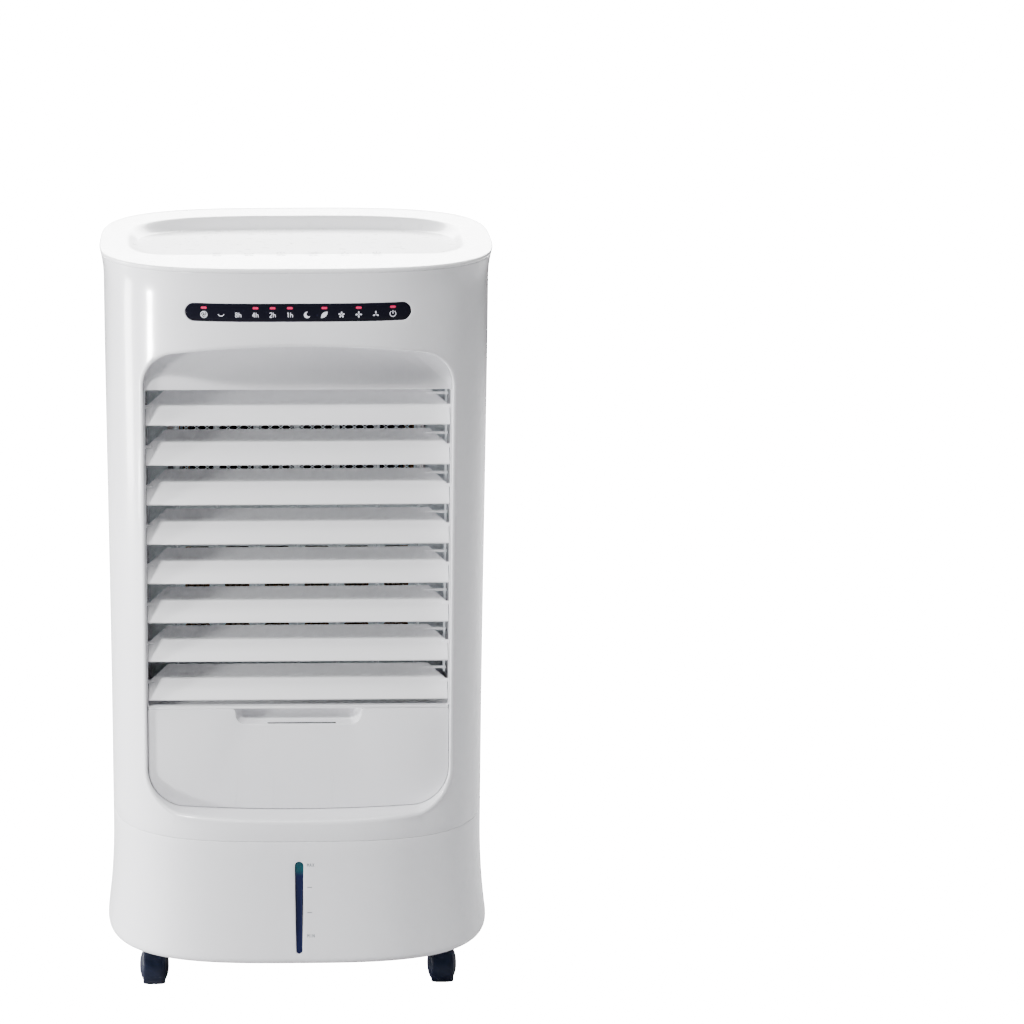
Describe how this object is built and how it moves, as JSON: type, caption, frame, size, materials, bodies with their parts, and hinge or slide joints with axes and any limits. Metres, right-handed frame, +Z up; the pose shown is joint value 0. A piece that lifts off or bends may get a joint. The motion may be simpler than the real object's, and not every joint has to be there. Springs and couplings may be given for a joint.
{
  "type": "evaporative cooler",
  "caption": "Free-standing cabinet cooler with tilting louvres, swinging vanes, blower, wetted pad, water tank, pull-out filler, side grips and twin-wheel castors.",
  "frame": {"origin": "on the floor, under the middle of the cabinet", "axes": "+Z up, front (air outlet) towards -Y, +X to the right as seen from the front"},
  "size_m": [0.4104, 0.3804, 0.79],
  "materials": {
    "cabinet_white": "high gloss white moulding",
    "louvre_white": "satin white moulding",
    "inner_white": "plain white moulding",
    "display_black": "polished black lens with lit marks",
    "circuit_board": "green board",
    "inner_black": "plain black moulding",
    "motor_steel": "plain steel can",
    "window_smoked": "dark tinted clear plastic",
    "hose_clear": "clear soft tube",
    "pad_paper": "corrugated cellulose, treated to stay stiff when wet",
    "filter_mesh": "fine woven nylon mesh",
    "castor_black": "dark nylon",
    "castor_tread": "dark nylon tread"
  },
  "bodies": {
    "cabinet": {"front_shell": "cabinet_white", "back_panel": "cabinet_white", "base_shell": "cabinet_white", "top_panel": "cabinet_white", "side_grip_left": "cabinet_white", "side_grip_right": "cabinet_white", "outlet_frame": "cabinet_white", "air_guard": "inner_white", "water_tank": "inner_white", "water_distributor": "inner_white", "display_window": "display_black", "display_board": "circuit_board", "touch_board": "circuit_board", "blower_housing": "inner_black", "water_pump": "inner_black", "cord_gland": "inner_black", "guard_mesh": "inner_white", "swing_motor": "motor_steel", "blower_motor": "motor_steel", "level_window": "window_smoked", "riser_hose": "hose_clear", "cooling_pad": "pad_paper"},
    "louvre_1": {"louvre_1": "louvre_white"},
    "louvre_2": {"louvre_2": "louvre_white"},
    "louvre_3": {"louvre_3": "louvre_white"},
    "louvre_4": {"louvre_4": "louvre_white"},
    "louvre_5": {"louvre_5": "louvre_white"},
    "louvre_6": {"louvre_6": "louvre_white"},
    "louvre_7": {"louvre_7": "louvre_white"},
    "louvre_8": {"louvre_8": "louvre_white"},
    "vane_1": {"vane_1": "inner_white"},
    "vane_2": {"vane_2": "inner_white"},
    "vane_3": {"vane_3": "inner_white"},
    "vane_4": {"vane_4": "inner_white"},
    "vane_5": {"vane_5": "inner_white"},
    "vane_6": {"vane_6": "inner_white"},
    "vane_7": {"vane_7": "inner_white"},
    "louvre_link": {"louvre_link": "inner_white"},
    "vane_link": {"vane_link": "inner_white"},
    "blower_wheel": {"blower_wheel": "inner_black"},
    "filler_drawer": {"filler_cover": "cabinet_white", "filler_tray": "inner_white"},
    "rear_filter": {"rear_grille": "cabinet_white", "dust_filter": "filter_mesh"},
    "drain_plug": {"drain_plug": "inner_black"},
    "castor_front_left": {"castor_front_left_fork": "castor_black"},
    "castor_front_left_wheels": {"castor_front_left_wheels": "castor_tread"},
    "castor_front_right": {"castor_front_right_fork": "castor_black"},
    "castor_front_right_wheels": {"castor_front_right_wheels": "castor_tread"},
    "castor_rear_left": {"castor_rear_left_fork": "castor_black"},
    "castor_rear_left_wheels": {"castor_rear_left_wheels": "castor_tread"},
    "castor_rear_right": {"castor_rear_right_fork": "castor_black"},
    "castor_rear_right_wheels": {"castor_rear_right_wheels": "castor_tread"}
  },
  "joints": [
    {"name": "louvre_1_tilt", "type": "hinge", "parent": "cabinet", "child": "louvre_1", "pos_m": [0, -0.128, 0.3427], "axis": [1, 0, 0], "range_deg": [-50, 20]},
    {"name": "louvre_2_tilt", "type": "hinge", "parent": "cabinet", "child": "louvre_2", "pos_m": [0, -0.128, 0.3846], "axis": [1, 0, 0], "range_deg": [-50, 20]},
    {"name": "louvre_3_tilt", "type": "hinge", "parent": "cabinet", "child": "louvre_3", "pos_m": [0, -0.128, 0.4265], "axis": [1, 0, 0], "range_deg": [-50, 20]},
    {"name": "louvre_4_tilt", "type": "hinge", "parent": "cabinet", "child": "louvre_4", "pos_m": [0, -0.128, 0.4684], "axis": [1, 0, 0], "range_deg": [-50, 20]},
    {"name": "louvre_5_tilt", "type": "hinge", "parent": "cabinet", "child": "louvre_5", "pos_m": [0, -0.128, 0.5103], "axis": [1, 0, 0], "range_deg": [-50, 20]},
    {"name": "louvre_6_tilt", "type": "hinge", "parent": "cabinet", "child": "louvre_6", "pos_m": [0, -0.128, 0.5522], "axis": [1, 0, 0], "range_deg": [-50, 20]},
    {"name": "louvre_7_tilt", "type": "hinge", "parent": "cabinet", "child": "louvre_7", "pos_m": [0, -0.128, 0.5941], "axis": [1, 0, 0], "range_deg": [-50, 20]},
    {"name": "louvre_8_tilt", "type": "hinge", "parent": "cabinet", "child": "louvre_8", "pos_m": [0, -0.128, 0.636], "axis": [1, 0, 0], "range_deg": [-50, 20]},
    {"name": "louvre_link_pin", "type": "hinge", "parent": "louvre_1", "child": "louvre_link", "pos_m": [0.1545, -0.11836, 0.35419], "axis": [1, 0, 0], "range_deg": [-20, 50]},
    {"name": "vane_1_swing", "type": "hinge", "parent": "cabinet", "child": "vane_1", "pos_m": [-0.126, -0.09, 0.34], "axis": [0, 0, 1], "range_deg": [-32, 32]},
    {"name": "vane_2_swing", "type": "hinge", "parent": "cabinet", "child": "vane_2", "pos_m": [-0.084, -0.09, 0.34], "axis": [0, 0, 1], "range_deg": [-32, 32]},
    {"name": "vane_3_swing", "type": "hinge", "parent": "cabinet", "child": "vane_3", "pos_m": [-0.042, -0.09, 0.34], "axis": [0, 0, 1], "range_deg": [-32, 32]},
    {"name": "vane_4_swing", "type": "hinge", "parent": "cabinet", "child": "vane_4", "pos_m": [0, -0.09, 0.34], "axis": [0, 0, 1], "range_deg": [-32, 32]},
    {"name": "vane_5_swing", "type": "hinge", "parent": "cabinet", "child": "vane_5", "pos_m": [0.042, -0.09, 0.34], "axis": [0, 0, 1], "range_deg": [-32, 32]},
    {"name": "vane_6_swing", "type": "hinge", "parent": "cabinet", "child": "vane_6", "pos_m": [0.084, -0.09, 0.34], "axis": [0, 0, 1], "range_deg": [-32, 32]},
    {"name": "vane_7_swing", "type": "hinge", "parent": "cabinet", "child": "vane_7", "pos_m": [0.126, -0.09, 0.34], "axis": [0, 0, 1], "range_deg": [-32, 32]},
    {"name": "vane_link_pin", "type": "hinge", "parent": "vane_1", "child": "vane_link", "pos_m": [-0.126, -0.075, 0.33], "axis": [0, 0, 1], "range_deg": [-32, 32]},
    {"name": "blower_spin", "type": "hinge", "parent": "cabinet", "child": "blower_wheel", "pos_m": [0, 0.012, 0.53], "axis": [1, 0, 0], "continuous": true},
    {"name": "filler_pull", "type": "slide", "parent": "cabinet", "child": "filler_drawer", "axis": [0, -1, 0], "range_m": [0, 0.06]},
    {"name": "rear_filter_pull", "type": "slide", "parent": "cabinet", "child": "rear_filter", "axis": [0, 1, 0], "range_m": [0, 0.05]},
    {"name": "drain_plug_pull", "type": "slide", "parent": "cabinet", "child": "drain_plug", "axis": [0, 1, 0], "range_m": [0, 0.045]},
    {"name": "castor_front_left_swivel", "type": "hinge", "parent": "cabinet", "child": "castor_front_left", "pos_m": [-0.154, -0.115, 0.05], "axis": [0, 0, 1], "continuous": true},
    {"name": "castor_front_left_roll", "type": "hinge", "parent": "castor_front_left", "child": "castor_front_left_wheels", "pos_m": [-0.154, -0.105, 0.02], "axis": [1, 0, 0], "continuous": true},
    {"name": "castor_front_right_swivel", "type": "hinge", "parent": "cabinet", "child": "castor_front_right", "pos_m": [0.154, -0.115, 0.05], "axis": [0, 0, 1], "continuous": true},
    {"name": "castor_front_right_roll", "type": "hinge", "parent": "castor_front_right", "child": "castor_front_right_wheels", "pos_m": [0.154, -0.105, 0.02], "axis": [1, 0, 0], "continuous": true},
    {"name": "castor_rear_left_swivel", "type": "hinge", "parent": "cabinet", "child": "castor_rear_left", "pos_m": [-0.154, 0.115, 0.05], "axis": [0, 0, 1], "continuous": true},
    {"name": "castor_rear_left_roll", "type": "hinge", "parent": "castor_rear_left", "child": "castor_rear_left_wheels", "pos_m": [-0.154, 0.125, 0.02], "axis": [1, 0, 0], "continuous": true},
    {"name": "castor_rear_right_swivel", "type": "hinge", "parent": "cabinet", "child": "castor_rear_right", "pos_m": [0.154, 0.115, 0.05], "axis": [0, 0, 1], "continuous": true},
    {"name": "castor_rear_right_roll", "type": "hinge", "parent": "castor_rear_right", "child": "castor_rear_right_wheels", "pos_m": [0.154, 0.125, 0.02], "axis": [1, 0, 0], "continuous": true}
  ],
  "couplings": [
    {"joint": "louvre_2_tilt", "follows": "louvre_1_tilt", "ratio": 1},
    {"joint": "louvre_3_tilt", "follows": "louvre_1_tilt", "ratio": 1},
    {"joint": "louvre_4_tilt", "follows": "louvre_1_tilt", "ratio": 1},
    {"joint": "louvre_5_tilt", "follows": "louvre_1_tilt", "ratio": 1},
    {"joint": "louvre_6_tilt", "follows": "louvre_1_tilt", "ratio": 1},
    {"joint": "louvre_7_tilt", "follows": "louvre_1_tilt", "ratio": 1},
    {"joint": "louvre_8_tilt", "follows": "louvre_1_tilt", "ratio": 1},
    {"joint": "louvre_link_pin", "follows": "louvre_1_tilt", "ratio": -1},
    {"joint": "vane_2_swing", "follows": "vane_1_swing", "ratio": 1},
    {"joint": "vane_3_swing", "follows": "vane_1_swing", "ratio": 1},
    {"joint": "vane_4_swing", "follows": "vane_1_swing", "ratio": 1},
    {"joint": "vane_5_swing", "follows": "vane_1_swing", "ratio": 1},
    {"joint": "vane_6_swing", "follows": "vane_1_swing", "ratio": 1},
    {"joint": "vane_7_swing", "follows": "vane_1_swing", "ratio": 1},
    {"joint": "vane_link_pin", "follows": "vane_1_swing", "ratio": -1}
  ]
}
